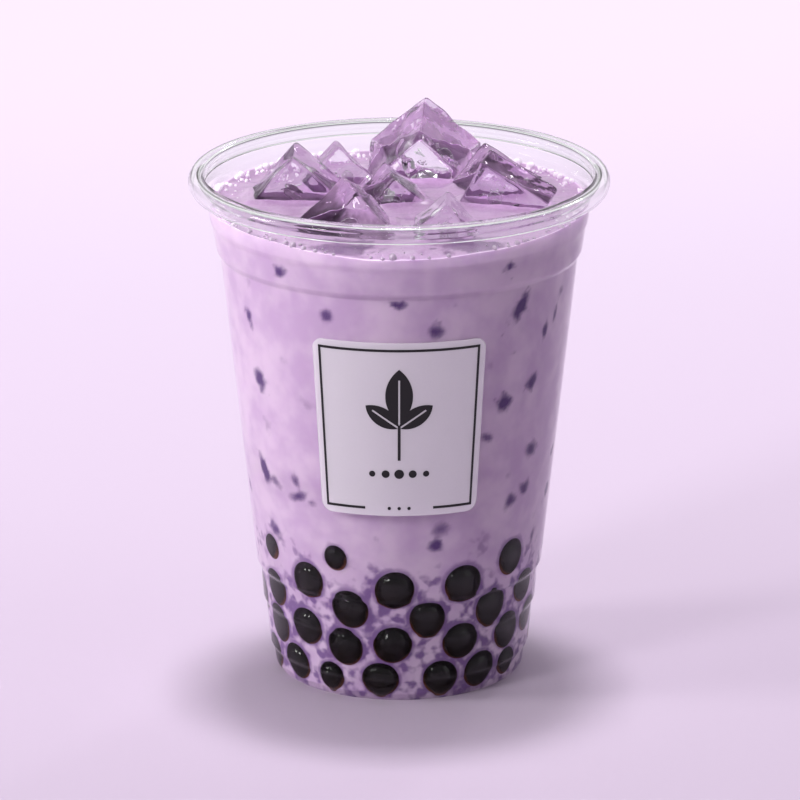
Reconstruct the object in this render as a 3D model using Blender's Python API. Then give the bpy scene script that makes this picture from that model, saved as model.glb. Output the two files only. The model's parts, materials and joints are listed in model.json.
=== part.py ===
"""Taro bubble tea: a clear plastic cup of milky taro drink, with ice on top and tapioca pearls below.

Metres, +Z up. The cup stands on Z = 0 with its axis on the Z axis, and its label faces the front, -Y.
An azimuth is counted in degrees round the cup from the front, towards +X.
"""

import math
import random

import bmesh
import bpy
from mathutils import Matrix, Vector

MM = 0.001

# Driving sizes of the cup, in millimetres: a 98 mm cold cup of about half a litre
RIM_RADIUS = 49.0
CUP_HEIGHT = 121.0
WALL = 0.7
GAP = 0.3
TURN_SEGMENTS = 48

# Foot: a flat ring under the rounded corner, round a panel that is raised in the middle
FOOT_INNER, FOOT_OUTER = 21.8, 26.6
PANEL_RADIUS, PANEL_RISE = 20.0, 2.2
CORNER = ((28.4, 0.55), (29.4, 1.9))

# Steps moulded into the wall: height of the foot of each step, and the radius below and above it
STEP_RISE = 1.3
STEPS = ((5.4, 29.75, 30.6), (16.6, 31.5, 32.15), (25.6, 32.65, 33.6), (98.8, 41.4, 42.4), (107.0, 43.4, 43.95))

# Rim: the wall flares above the neck into a bead of BEAD_RADIUS that is rolled outwards
NECK_RADIUS, NECK_HEIGHT = 44.5, 113.6
BEAD_RADIUS = 1.75
RIM_UNDERSIDE = ((44.85, 115.6), (46.0, 117.0), (47.25, 116.5), (48.75, 117.4))
RIM_INSIDE = (44.3, 116.9)

# How much higher a wall that is moved in lies at its steps, for each millimetre that it is moved
INSET_RISE = 0.3

MERGE_DISTANCE = 0.0001
TURNED_CREASE, ICE_CREASE = math.radians(35), math.radians(50)

# Contents
LEVEL = 113.0
PEARL_SQUASH = 0.92
PEARL_REACH, PEARL_LEAN = 0.35, 0.1

# Pearls that show at the front: azimuth, height of the centre and width
FRONT_PEARLS = (
    (-56, 6.1, 8.8), (-34, 5.0, 6.4), (-9, 5.6, 8.6), (20, 5.6, 8.6), (41, 6.1, 8.8), (60, 5.6, 6.2),
    (-68, 14.0, 9.2), (-46, 16.4, 9.4), (-25.5, 13.3, 9.4), (-3, 14.6, 9.4), (29, 14.5, 9.4), (57, 14.0, 9.2),
    (77, 15.0, 8.4), (-66, 23.4, 8.8), (-22, 23.2, 9.6), (12.5, 21.2, 9.0), (44, 21.8, 9.4), (67, 23.8, 8.4),
    (-42, 28.8, 9.2), (-2, 28.8, 9.8), (28, 29.4, 9.8), (-64, 34.0, 5.2), (-27, 36.0, 5.4), (53, 33.2, 8.6),
)  # fmt: skip

# Pearls settled round the back: how many, the azimuths and widths they are drawn from, and the milk left between
BACK_COUNT = 21
BACK_SPAN = (82, 282)
BACK_WIDTHS = (7.8, 9.6)
PEARL_SPACING = 1.0
SETTLE_STEP, SETTLE_TRIES = 0.3, 9
ROOM_SIDES = 10

# Ice: the top corner, whether it is the front or back end of the top edge, the lengths of its
# right slope, top edge and left slope, and how far it is turned, dipped forwards and rolled, in degrees
ICE = {
    "ice_back": ((6.4, 31.0, 131.4), "back", (19.2, 18.5, 19.6), (-5, 21, 46)),
    "ice_left": ((-24.8, -2.0, 124.9), "front", (16.5, 12.0, 17.5), (-4, 5, 41)),
    "ice_left_back": ((-14.2, 12.8, 123.8), "front", (12.0, 8.5, 12.0), (6, -4, 44)),
    "ice_front": ((-12.9, -21.0, 126.2), "back", (16.0, 20.0, 20.0), (42, 31, 36)),
    "ice_right_back": ((19.8, 14.0, 124.7), "back", (22.5, 9.5, 13.5), (11, 16, 36)),
    "ice_right": ((18.6, -6.5, 124.7), "front", (19.0, 8.0, 15.5), (-19, 15, 30)),
    "ice_front_right": ((11.2, -25.5, 124.2), "back", (11.5, 10.0, 11.0), (-3, 7, 49)),
    "ice_middle": ((-0.8, -4.3, 120.2), "front", (11.5, 12.5, 11.5), (14, 8, 38)),
}
ICE_EDGE = 1.9

# Label: a film wrapped on the front of the wall
LABEL_BOTTOM, LABEL_TOP = 48.5, 91.5
LABEL_HALF_WIDTH = 19.6
LABEL_CORNER = 2.6
LABEL_THICK = 0.3
LABEL_COLUMNS = 10


def clear_scene():
    """Empties the scene of objects."""
    for old in list(bpy.data.objects):
        bpy.data.objects.remove(old)


def material(name, colour, roughness, alpha=1.0, transmission=0.0):
    """A Principled material with the part's colour from the photo."""
    made = bpy.data.materials.new(name)
    made.use_nodes = True
    shader = made.node_tree.nodes["Principled BSDF"]
    shader.inputs["Base Color"].default_value = (*colour, 1.0)
    shader.inputs["Roughness"].default_value = roughness
    shader.inputs["Metallic"].default_value = 0.0
    shader.inputs["Alpha"].default_value = alpha
    shader.inputs["Transmission Weight"].default_value = transmission
    made.diffuse_color = (*colour, alpha)
    return made


def add_object(name, mesh_source, finish):
    """Turns a bmesh in millimetres into an object in metres, with one material."""
    bmesh.ops.recalc_face_normals(mesh_source, faces=mesh_source.faces[:])
    bmesh.ops.scale(mesh_source, vec=(MM, MM, MM), verts=mesh_source.verts[:])
    mesh = bpy.data.meshes.new(name)
    mesh_source.to_mesh(mesh)
    mesh_source.free()
    if finish is not None:
        mesh.materials.append(finish)
    made = bpy.data.objects.new(name, mesh)
    bpy.context.scene.collection.objects.link(made)
    return made


def outer_wall():
    """The outside of the wall from the foot ring to the neck, as (radius, height), with its moulded steps."""
    points = [(FOOT_OUTER, 0.0), *CORNER]
    for height, below, above in STEPS:
        points += [(below, height), (above, height + STEP_RISE)]
    return [*points, (NECK_RADIUS, NECK_HEIGHT)]


def wall_radius(height):
    """Outside radius of the wall at a height, between the points of its outline."""
    points = outer_wall()
    for (r0, z0), (r1, z1) in zip(points, points[1:]):
        if z0 <= height <= z1:
            return r0 + (r1 - r0) * (height - z0) / (z1 - z0)
    return points[-1][0]


def inset_outline(inset):
    """The wall's outline moved in by inset, from the edge of the raised panel up to the neck."""
    low = [(PANEL_RADIUS - inset, PANEL_RISE + inset), (FOOT_INNER, inset), (FOOT_OUTER - inset, inset)]
    return low + [(radius - inset, height + INSET_RISE * inset) for radius, height in outer_wall()[1:]]


def turned(name, outline, finish):
    """A solid turned round the Z axis from an outline that starts and ends on the axis."""
    shape = bmesh.new()
    verts = [shape.verts.new((radius, 0.0, height)) for radius, height in outline]
    edges = [shape.edges.new(pair) for pair in zip(verts, verts[1:])]
    bmesh.ops.spin(
        shape, geom=verts + edges, cent=(0, 0, 0), axis=(0, 0, 1), angle=math.tau, steps=TURN_SEGMENTS, use_merge=True
    )
    bmesh.ops.remove_doubles(shape, verts=shape.verts[:], dist=MERGE_DISTANCE)
    made = add_object(name, shape, finish)
    made.data.shade_smooth()
    made.data.set_sharp_from_angle(angle=TURNED_CREASE)
    return made


def rim_outline():
    """From the neck's outside round the rolled bead and over its top to the neck's inside."""
    centre_r, centre_z = RIM_RADIUS - BEAD_RADIUS, CUP_HEIGHT - BEAD_RADIUS
    angles = [math.radians(angle) for angle in (0, 45, 90, 135, 180)]
    bead = [(centre_r + BEAD_RADIUS * math.cos(t), centre_z + BEAD_RADIUS * math.sin(t)) for t in angles]
    return [*RIM_UNDERSIDE, *bead, RIM_INSIDE]


def cup(finish):
    """The cup: its outside, the rim and the inside, one wall thickness apart, and a floor with a raised panel."""
    under_panel = [(0.0, PANEL_RISE), (PANEL_RADIUS, PANEL_RISE), (FOOT_INNER, 0.0)]
    inside = inset_outline(WALL)[::-1]
    over_panel = [(0.0, PANEL_RISE + WALL)]
    return turned("cup", under_panel + outer_wall() + rim_outline() + inside + over_panel, finish)


def local_frame(azimuth, radius, height):
    """A place at an azimuth on the cup: X runs round the wall, Y runs outwards and Z runs up."""
    turn = Matrix.Rotation(math.radians(azimuth) + math.pi, 4, "Z")
    return turn @ Matrix.Translation((0.0, radius, height))


def ball(width, depth):
    """A ball flattened along Y."""
    shape = bmesh.new()
    bmesh.ops.create_icosphere(shape, subdivisions=2, radius=0.5)
    bmesh.ops.scale(shape, vec=(width, depth, width), verts=shape.verts[:])
    return shape


def bore(width, depth):
    """A many-sided bore along Y that clears a ball of this width and depth, and runs out through the wall."""
    shape = bmesh.new()
    radius = 0.5 * width / math.cos(math.pi / ROOM_SIDES)
    length = 0.5 * depth + 2.0 * radius
    bmesh.ops.create_cone(
        shape, cap_ends=True, segments=ROOM_SIDES, radius1=radius, radius2=radius, depth=length,
        matrix=Matrix.Translation((0.0, 0.5 * (length - depth), 0.0)) @ Matrix.Rotation(math.pi / 2, 4, "X"),
    )  # fmt: skip
    return shape


def pearl_centre(azimuth, height, width):
    """Where the middle of a pearl is when it lies against the inside of the wall."""
    reach = PEARL_REACH * width
    narrowest = min(wall_radius(height + up) + PEARL_LEAN * abs(up) for up in (-reach, 0.0, reach))
    radius = narrowest - WALL - GAP - 0.5 * width * PEARL_SQUASH
    angle = math.radians(azimuth)
    return Vector((radius * math.sin(angle), -radius * math.cos(angle), height))


def lowest_free(azimuth, width, places):
    """The lowest height at which a pearl of this width is clear of the others at this azimuth."""
    height = 0.5 * width + WALL + 2.0 * GAP
    others = [(pearl_centre(*place), 0.5 * (width + place[2]) + PEARL_SPACING) for place in places]
    while any((pearl_centre(azimuth, height, width) - centre).length < apart for centre, apart in others):
        height += SETTLE_STEP
    return azimuth, height


def pearl_places():
    """Azimuth, height and width of every pearl: those placed by hand in front, and those settled round the back."""
    draw = random.Random(7)
    places = list(FRONT_PEARLS)
    for _ in range(BACK_COUNT):
        width = draw.uniform(*BACK_WIDTHS)
        spots = [lowest_free(draw.uniform(*BACK_SPAN), width, places) for _ in range(SETTLE_TRIES)]
        azimuth, height = min(spots, key=lambda spot: spot[1])
        places.append((azimuth, height, width))
    return places


def pearl(name, place, finish):
    """One tapioca pearl that touches the wall, and the pocket that it fills in the drink."""
    azimuth, height, width = place
    depth = width * PEARL_SQUASH
    frame = local_frame(azimuth, pearl_centre(*place).xy.length, height)
    body = ball(width, depth)
    bmesh.ops.transform(body, matrix=frame, verts=body.verts[:])
    made = add_object(name, body, finish)
    made.data.shade_smooth()
    room = bore(width + 2.0 * GAP, depth + 2.0 * GAP)
    bmesh.ops.transform(room, matrix=frame, verts=room.verts[:])
    return made, add_object(name + "_room", room, None)


def ice_block(size, edge, frame):
    """A block with rounded edges, placed by frame."""
    shape = bmesh.new()
    bmesh.ops.create_cube(shape, size=1.0)
    bmesh.ops.scale(shape, vec=size, verts=shape.verts[:])
    bmesh.ops.bevel(shape, geom=shape.edges[:], offset=edge, segments=2, profile=0.5, affect="EDGES")
    bmesh.ops.transform(shape, matrix=frame, verts=shape.verts[:])
    return shape


def ice(name, finish):
    """One cube of ice that floats with an edge up, and the room that it takes in the drink."""
    corner, end, (right, top, left), (turn, dip, roll) = ICE[name]
    tilt = (
        Matrix.Rotation(math.radians(turn), 4, "Z")
        @ Matrix.Rotation(math.radians(dip), 4, "X")
        @ Matrix.Rotation(math.radians(roll), 4, "Y")
    )
    along = 0.5 * top if end == "back" else -0.5 * top
    to_centre = Vector((0.5 * right, -along, -0.5 * left))
    frame = Matrix.Translation(Vector(corner) + tilt.to_3x3() @ to_centre) @ tilt
    made = add_object(name, ice_block((right, top, left), ICE_EDGE, frame), finish)
    made.data.shade_smooth()
    made.data.set_sharp_from_angle(angle=ICE_CREASE)
    room = [length + 2.0 * GAP for length in (right, top, left)]
    return made, add_object(name + "_room", ice_block(room, ICE_EDGE + GAP, frame), None)


def drink(finish, rooms):
    """The drink: it fills the cup to its level, with a room cut for each pearl and each cube of ice."""
    inset = WALL + GAP
    outline = [(radius, height) for radius, height in inset_outline(inset) if height < LEVEL - 0.5]
    top = [(wall_radius(LEVEL) - inset, LEVEL), (0.0, LEVEL)]
    made = turned("drink", [(0.0, PANEL_RISE + inset), *outline, *top], finish)
    pockets = bpy.data.collections.new("rooms")
    bpy.context.scene.collection.children.link(pockets)
    for room in rooms:
        bpy.context.scene.collection.objects.unlink(room)
        pockets.objects.link(room)
        room.hide_render = True
        room.display_type = "WIRE"
    cut = made.modifiers.new("rooms", "BOOLEAN")
    cut.operation = "DIFFERENCE"
    cut.operand_type = "COLLECTION"
    cut.collection = pockets
    cut.solver = "EXACT"
    return made


def label(finish):
    """A film on the front of the wall: a rectangle with rounded corners, bent to the cone of the wall."""
    middle = 0.5 * (LABEL_BOTTOM + LABEL_TOP)
    straight_up = 0.5 * (LABEL_TOP - LABEL_BOTTOM) - LABEL_CORNER
    straight_out = LABEL_HALF_WIDTH - LABEL_CORNER
    corner = [math.radians(angle) for angle in (0, 45, 90)]
    rows = [(straight_up + LABEL_CORNER * math.sin(t), straight_out + LABEL_CORNER * math.cos(t)) for t in corner]
    rows = [(-up, reach) for up, reach in reversed(rows)] + rows
    shape = bmesh.new()
    sheets = []
    for lift in (GAP, GAP + LABEL_THICK):
        sheet = []
        for up, reach in rows:
            radius = wall_radius(middle + up) + lift
            line = []
            for column in range(LABEL_COLUMNS + 1):
                angle = reach * (2.0 * column / LABEL_COLUMNS - 1.0) / wall_radius(middle)
                line.append(shape.verts.new((radius * math.sin(angle), -radius * math.cos(angle), middle + up)))
            sheet.append(line)
        sheets.append(sheet)
    for sheet in sheets:
        for low, high in zip(sheet, sheet[1:]):
            for column in range(LABEL_COLUMNS):
                shape.faces.new((low[column], low[column + 1], high[column + 1], high[column]))
    inner, outer = (
        sheet[0] + [line[-1] for line in sheet[1:]] + sheet[-1][-2::-1] + [line[0] for line in sheet[-2:0:-1]]
        for sheet in sheets
    )
    for index in range(len(inner)):
        after = (index + 1) % len(inner)
        shape.faces.new((inner[index], inner[after], outer[after], outer[index]))
    made = add_object("label", shape, finish)
    made.data.shade_smooth()
    made.data.set_sharp_from_angle(angle=TURNED_CREASE)
    return made


def build():
    """Makes every piece of the drink."""
    clear_scene()
    clear_plastic = material("clear_plastic", (0.93, 0.94, 0.95), 0.05, alpha=0.3, transmission=1.0)
    taro_milk = material("taro_milk", (0.56, 0.42, 0.60), 0.35)
    clear_ice = material("clear_ice", (0.80, 0.72, 0.84), 0.05, alpha=0.6, transmission=1.0)
    tapioca = material("tapioca", (0.022, 0.014, 0.011), 0.18)
    film = material("film", (0.78, 0.72, 0.80), 0.4)
    cup(clear_plastic)
    made = [ice(name, clear_ice) for name in ICE]
    made += [pearl(f"pearl_{index:02d}", place, tapioca) for index, place in enumerate(pearl_places(), 1)]
    drink(taro_milk, [room for _, room in made])
    label(film)


build()
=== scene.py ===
"""Looks of the taro bubble tea: clear cup, milky drink with its flecks, ice, foam, pearls and a label."""

import json
import math

import bpy
import numpy as np
from mathutils import Matrix, Vector

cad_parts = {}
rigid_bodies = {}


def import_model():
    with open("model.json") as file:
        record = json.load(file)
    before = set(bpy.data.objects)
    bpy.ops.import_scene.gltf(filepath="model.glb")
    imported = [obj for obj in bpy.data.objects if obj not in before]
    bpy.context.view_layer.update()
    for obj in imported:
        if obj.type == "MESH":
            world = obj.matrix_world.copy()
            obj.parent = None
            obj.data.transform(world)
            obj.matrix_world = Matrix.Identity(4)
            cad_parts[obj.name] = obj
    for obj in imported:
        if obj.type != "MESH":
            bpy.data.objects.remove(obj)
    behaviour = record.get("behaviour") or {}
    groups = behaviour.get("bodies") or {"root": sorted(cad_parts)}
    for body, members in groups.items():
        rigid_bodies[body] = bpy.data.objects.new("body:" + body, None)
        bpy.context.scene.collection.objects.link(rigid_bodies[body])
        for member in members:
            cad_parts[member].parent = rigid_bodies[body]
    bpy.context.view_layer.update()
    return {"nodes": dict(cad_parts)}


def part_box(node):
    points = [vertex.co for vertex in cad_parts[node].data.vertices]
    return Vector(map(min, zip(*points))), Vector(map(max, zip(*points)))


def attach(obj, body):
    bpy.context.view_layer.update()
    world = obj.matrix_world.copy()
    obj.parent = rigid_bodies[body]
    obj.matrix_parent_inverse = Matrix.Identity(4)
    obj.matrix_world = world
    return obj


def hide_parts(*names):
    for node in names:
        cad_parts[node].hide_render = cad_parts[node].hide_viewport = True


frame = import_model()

MM = 0.001
TAU = math.tau

# The outside of the cup as (radius, height) in millimetres: foot, neck and the raised panel under the floor.
# A moulded step has its height, the radius below it and the radius above it. The two upper steps stand where
# the photograph shows them, 2 to 3 mm higher than in the solid
FOOT = ((26.6, 0.0), (28.4, 0.55), (29.4, 1.9))
STEPS = (
    (5.4, 29.75, 30.6), (16.6, 31.5, 32.15), (25.6, 32.65, 33.6),
    (101.7, 41.7, 42.65), (108.6, 43.5, 44.0),
)  # fmt: skip
STEP_RISE = 1.3
NECK = (44.5, 113.6)
PANEL = ((0.0, 2.2), (20.0, 2.2), (21.8, 0.0))

# The wall: its thickness, how far a step inside stands above the one outside for each millimetre between
# them, how near a corner its curve starts, and the fineness of the mesh
WALL = 0.7
INSET_RISE = 0.3
CORNER_REACH = 0.5
CUP_SPACING, CUP_COLUMNS = 2.4, 192

# The plastic is thicker low down: by how much, the heights between which that ends, and how far outside the
# panel it starts. The inside runs straight past the low steps, along a line through one place
THICK_FOOT, THICK_FOOT_ENDS, THICK_FOOT_STARTS = 1.9, (46.0, 58.0), (0.5, 3.0)
STRAIGHT_FROM, STRAIGHT_SLOPE = (29.75, 5.4), 0.1436

# The rim, rolled outwards from the wall's own sheet: the wall outside below it, the centre, half sizes and
# thickness of the roll, the angles in degrees where its hollow starts, where the sheet ends and turns back,
# and where the roll meets the inside, and then the way down to the inside of the wall
RIM_UNDERSIDE = ((44.65, 115.2), (45.05, 116.3), (45.7, 117.5))
BEAD_CENTRE, BEAD_HALF, BEAD_SHEET = (47.35, 118.8), (1.65, 2.2), 0.55
BEAD_FROM, BEAD_TURN, BEAD_TO = 190.0, -60.0, 160.0
RIM_INSIDE = ((45.5, 118.4), (45.1, 117.4), (44.55, 116.4), (44.15, 115.2))

# The drink: its level, how far it reaches into the wall, the radius of its flat underside, the fineness of its
# mesh, how high it climbs at the ice and how soon that fades, and the height above which its rings lift
# towards its edge
LEVEL = 113.0
MILK_INTO_WALL = 0.07
MILK_FLOOR = 19.4
MILK_COLUMNS, MILK_SPACING, TOP_SPACING = 300, 0.75, 0.7
CLIMB, CLIMB_REACH = 1.0, 1.1
LIFT_FROM = 108.0

# The edge of the drink at the wall: its height at the back, how much lower it is in front and over how many
# degrees, and how far in from the wall it levels out
EDGE_HEIGHT, EDGE_DIP, EDGE_DIP_SPREAD, EDGE_REACH = 114.0, 2.0, 38.0, 1.5

# Pearls: how squarely they press against the wall, how much wider that makes them, half their depth as a
# share of their width, how uneven they are, and how far the milk between them stands back from the wall
PEARL_POWER, PEARL_GROWTH, PEARL_HALF_DEPTH, PEARL_UNEVEN = 2.2, 1.2, 0.46, 0.03
PEARL_ROWS_FRONT, PEARL_ROWS_BACK, PEARL_COLUMNS = 13, 7, 28
STAND_BACK = 1.7

# Ice: the top corner, whether it is the front or back end of the top edge, the lengths of its
# right slope, top edge and left slope, and how far it is turned, dipped forwards and rolled, in degrees
ICE = {
    "ice_back": ((6.4, 31.0, 131.4), "back", (19.2, 18.5, 19.6), (-5, 21, 46)),
    "ice_left": ((-24.8, -2.0, 124.9), "front", (16.5, 12.0, 17.5), (-4, 5, 41)),
    "ice_left_back": ((-14.2, 12.8, 123.8), "front", (12.0, 8.5, 12.0), (6, -4, 44)),
    "ice_front": ((-12.9, -21.0, 126.2), "back", (16.0, 20.0, 20.0), (42, 31, 36)),
    "ice_right_back": ((19.8, 14.0, 124.7), "back", (22.5, 9.5, 13.5), (11, 16, 36)),
    "ice_right": ((18.6, -6.5, 124.7), "front", (19.0, 8.0, 15.5), (-19, 15, 30)),
    "ice_front_right": ((11.2, -25.5, 124.2), "back", (11.5, 10.0, 11.0), (-3, 7, 49)),
    "ice_middle": ((-0.8, -4.3, 120.2), "front", (11.5, 12.5, 11.5), (14, 8, 38)),
}
ICE_EDGE, ICE_SIDES = 1.1, 26

# How ice has melted: how far the middle of a face sinks, and the height, length and seed of its waves
MELT_SINK = 0.28
MELT_WAVES = ((0.22, 9.0, 40), (0.05, 3.2, 60))

# How much smaller than its ice a pocket in the drink is, so that no gap shows, and what each block holds
POCKET_SHRINK = 0.09
CRACKS, AIR_BUBBLES = 3, 16

# Painted dark patches on the drink's surface in front, in the shade painted in the ice's pockets, where ice
# would show just under it: middle x and y, half width and half depth
PAINTED_ICE_SHADE_PATCHES = ((-12.8, -37.2, 7.0, 4.6), (17.0, -36.0, 7.6, 4.6))

# Flecks of taro at the wall: azimuth, height, width, height of the fleck, tilt and strength
FLECKS = (
    (-40, 106, 2.8, 2.5, 0, 0.8), (-59, 92, 2.3, 3.2, 15, 0.8), (-24, 97, 2.8, 3.0, 20, 0.7),
    (-1, 100.7, 3.8, 1.7, -15, 0.8), (12, 94, 3.4, 3.2, 0, 0.7), (36, 108, 2.0, 2.2, 0, 0.8),
    (43, 97, 2.9, 6.4, -38, 1), (63, 92, 1.5, 3.4, -10, 0.7), (57, 89, 2.2, 3.0, -10, 0.8),
    (66, 97, 2.3, 2.2, 0, 0.5), (-56, 77, 3.8, 4.2, 30, 0.8), (-43, 84, 2.6, 2.0, 0, 0.25),
    (-34, 74, 3.4, 2.5, 0, 0.3), (-54, 66, 2.8, 3.0, 0, 0.35), (52, 77, 3.0, 3.9, -25, 0.8),
    (39, 74, 3.6, 3.7, -30, 0.9), (32, 84, 2.2, 2.0, 0, 0.3), (42, 86, 1.3, 1.0, 0, 0.4),
    (18, 100, 1.7, 1.5, 0, 0.3), (-60, 54, 3.2, 5.4, 15, 0.95), (-54, 52, 3.6, 2.5, -20, 0.5),
    (-42, 54, 2.5, 2.7, 0, 0.6), (-42, 50, 5.1, 2.0, 20, 0.7), (-36, 49, 2.0, 1.5, 0, 0.5),
    (-59, 39, 4.6, 2.7, 0, 0.7), (56, 60, 3.8, 3.4, -20, 0.8), (33, 66, 3.4, 2.0, 0, 0.6),
    (56, 50, 3.4, 3.0, -20, 0.7), (48, 48, 3.2, 3.0, -30, 0.7), (44, 55, 2.3, 1.7, 0, 0.3),
    (16, 44, 3.7, 3.2, 0, 0.6), (15, 40, 2.9, 3.0, 10, 0.85), (-9, 42, 1.4, 1.2, 0, 0.3),
    (68, 36, 1.9, 3.0, 0, 0.6), (-57, 101, 2.2, 2.2, 0, 0.3),
)  # fmt: skip

# Flecks round the back: how many, and the least and most of each of the same six values
BACK_FLECKS = 46
BACK_FLECK_ENDS = ((76, 284), (36, 108), (1.6, 3.8), (1.6, 4.6), (-40, 40), (0.3, 0.95))

# Foam: rings of bubbles, each with its distance from the wall, smallest and largest radius and mean gap; how
# many bubbles are drawn for a ring, and the radius on which they are spaced; the azimuth and radius of the
# large bubbles in front; and how many tiny ones lie where a block of ice leaves the drink
FOAM_RINGS = (
    (0.7, 0.35, 1.15, 0.7), (1.9, 0.2, 0.75, 1.4), (3.0, 0.16, 0.55, 2.8),
    (4.2, 0.12, 0.4, 5.0), (5.8, 0.1, 0.3, 9.0),
)  # fmt: skip
RING_DRAWS, RING_RADIUS = 900, 42.0
FRONT_BUBBLES = np.array([
    (-42, 0.55), (-34, 0.8), (-30, 0.62), (-26, 0.55), (-2, 0.95), (-5, 0.5), (4, 0.62), (15, 0.6),
    (9, 0.45), (30, 0.42), (-20, 0.4),
])  # fmt: skip
WATERLINE_BUBBLES = 9

# The label's film: the height of its middle, its half sizes, the radius of its corners and its thickness
LABEL_MIDDLE, LABEL_HALF_WIDTH, LABEL_HALF_HEIGHT, LABEL_CORNER = 70.0, 19.6, 21.5, 2.6
LABEL_FILM, LABEL_GAP = 0.12, 0.02

# Its printing: the frame's half sizes, half the width of its line and of its gap at the bottom; each leaf's
# lean in degrees, foot, length and width; the middle and half sizes of the stem; and the dots
FRAME_HALF_WIDTH, FRAME_HALF_HEIGHT, FRAME_LINE, FRAME_GAP = 17.9, 19.6, 0.29, 8.3
LEAVES = ((0.0, 1.6, 13.4, 6.2), (54.0, 0.4, 9.4, 4.4), (-54.0, 0.4, 9.4, 4.4))
STEM_MIDDLE, STEM_HALF_WIDTH, STEM_HALF_HEIGHT = -3.2, 0.34, 4.4
DOTS = (
    (-6.4, -11.0, 0.75), (-3.2, -11.0, 0.95), (0.0, -11.0, 1.15), (3.2, -11.0, 0.95), (6.4, -11.0, 0.75),
    (-2.4, -19.6, 0.42), (0.0, -19.6, 0.42), (2.4, -19.6, 0.42),
)  # fmt: skip

# Lamps: where each stands and points, its width and height in metres, its power in watts and its colour
WHITE = (1.0, 1.0, 1.0)
CUP_MIDDLE = (0.0, 0.0, 0.07)
LAMPS = {
    "key": ((-1.3, -0.2, 0.6), CUP_MIDDLE, (0.3, 0.4), 8.4, (0.97, 1.0, 0.93)),
    "top": ((0.0, 0.18, 1.29), CUP_MIDDLE, (0.2, 0.2), 11.5, WHITE),
    "back": ((0.0, 1.3, 0.6), (0.0, 0.0, 0.1), (1.6, 0.8), 2.6, WHITE),
    "fill": ((1.25, -0.45, 0.5), CUP_MIDDLE, (0.9, 0.9), 2.0, WHITE),
    "glint": ((0.45, 0.9, 0.8), (0.0, 0.0, 0.11), (0.1, 0.14), 1.2, WHITE),
    "window": ((-0.78, -0.72, 0.62), (0.0, 0.0, 0.06), (0.22, 0.26), 4.4, WHITE),
}
SURROUND_COLOUR, SURROUND_STRENGTH = (0.93, 0.89, 0.96, 1.0), 0.36

# The camera: the place it looks at and its distance from it in metres, how many degrees it looks down, and
# its lens and sensor width
CAMERA_AIM, CAMERA_DISTANCE, CAMERA_DOWN = (0.000188, 0.0, 0.0651), 1.5, 17.6
CAMERA_LENS, CAMERA_SENSOR = 287.5, 36.0


# Surfaces
def make_mesh(name, points, *face_sets):
    """A mesh in metres from points in millimetres and arrays of faces, each with one number of corners."""
    corners = np.concatenate([faces.ravel() for faces in face_sets]).astype(np.int32)
    sizes = np.concatenate([np.full(len(faces), faces.shape[1]) for faces in face_sets])
    mesh = bpy.data.meshes.new(name)
    mesh.vertices.add(len(points))
    mesh.vertices.foreach_set("co", (points * MM).astype(np.float32).ravel())
    mesh.loops.add(len(corners))
    mesh.loops.foreach_set("vertex_index", corners)
    mesh.polygons.add(len(sizes))
    mesh.polygons.foreach_set("loop_start", (np.cumsum(sizes) - sizes).astype(np.int32))
    mesh.update(calc_edges=True)
    mesh.validate()
    mesh.shade_smooth()
    return mesh


def link(name, data):
    """Puts a new object with this data into the scene."""
    made = bpy.data.objects.new(name, data)
    bpy.context.scene.collection.objects.link(made)
    return made


def add_piece(name, mesh, finish, nodes=()):
    """Makes a mesh a piece that rides with the drink, with its finish, slot and the nodes it stands for."""
    made = link(name, mesh)
    mesh.materials.append(finish)
    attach(made, "root")
    if nodes:
        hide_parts(*nodes)
    return made


def store(mesh, **layers):
    """Puts one number for each point into the mesh under each name."""
    for name, values in layers.items():
        layer = mesh.attributes.new(name, "FLOAT", "POINT")
        layer.data.foreach_set("value", np.ascontiguousarray(values, dtype=np.float32).ravel())


def places_of(mesh):
    """The points of a mesh in millimetres."""
    places = np.empty(len(mesh.vertices) * 3, dtype=np.float32)
    mesh.vertices.foreach_get("co", places)
    return places.reshape(-1, 3).astype(float) / MM


def ring_faces(rows, columns):
    """Faces of a closed surface of rings between two poles. The poles are the last two points."""
    here = np.arange(rows * columns).reshape(rows, columns)
    after = np.roll(here, -1, axis=1)
    quads = np.stack([here[:-1], after[:-1], after[1:], here[1:]], -1).reshape(-1, 4)
    first, last = rows * columns, rows * columns + 1
    low = np.stack([np.full(columns, first), after[0], here[0]], -1)
    high = np.stack([np.full(columns, last), here[-1], after[-1]], -1)
    return quads, np.concatenate([low, high])


def round_axis(radius, angle, height):
    """Points at x = r sin t and y = -r cos t, so that the angle t is 0 in front."""
    return np.stack([radius * np.sin(angle), -radius * np.cos(angle), height], -1)


def ring_points(radius, height, columns, first, last):
    """Rings round the Z axis, with the radius and height given for each ring or point, and two poles."""
    turn = np.linspace(0.0, TAU, columns, endpoint=False)[None, :]
    radius, height = np.broadcast_arrays(radius, height + 0.0 * turn)
    rings = round_axis(radius, turn, height).reshape(-1, 3)
    return np.concatenate([rings, [[0.0, 0.0, first], [0.0, 0.0, last]]])


def unit_ball(rows, columns):
    """Points of a ball of radius 1, as rings between two poles."""
    angle = np.linspace(0.0, math.pi, rows + 2)[1:-1][:, None]
    return ring_points(np.sin(angle), -np.cos(angle), columns, -1.0, 1.0)


def repeated(points, face_sets):
    """Joins many copies of a small shape: points holds one row of points for each copy."""
    count, each = points.shape[:2]
    shift = (np.arange(count) * each)[:, None, None]
    return points.reshape(-1, 3), [(faces[None] + shift).reshape(-1, faces.shape[1]) for faces in face_sets]


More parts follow.
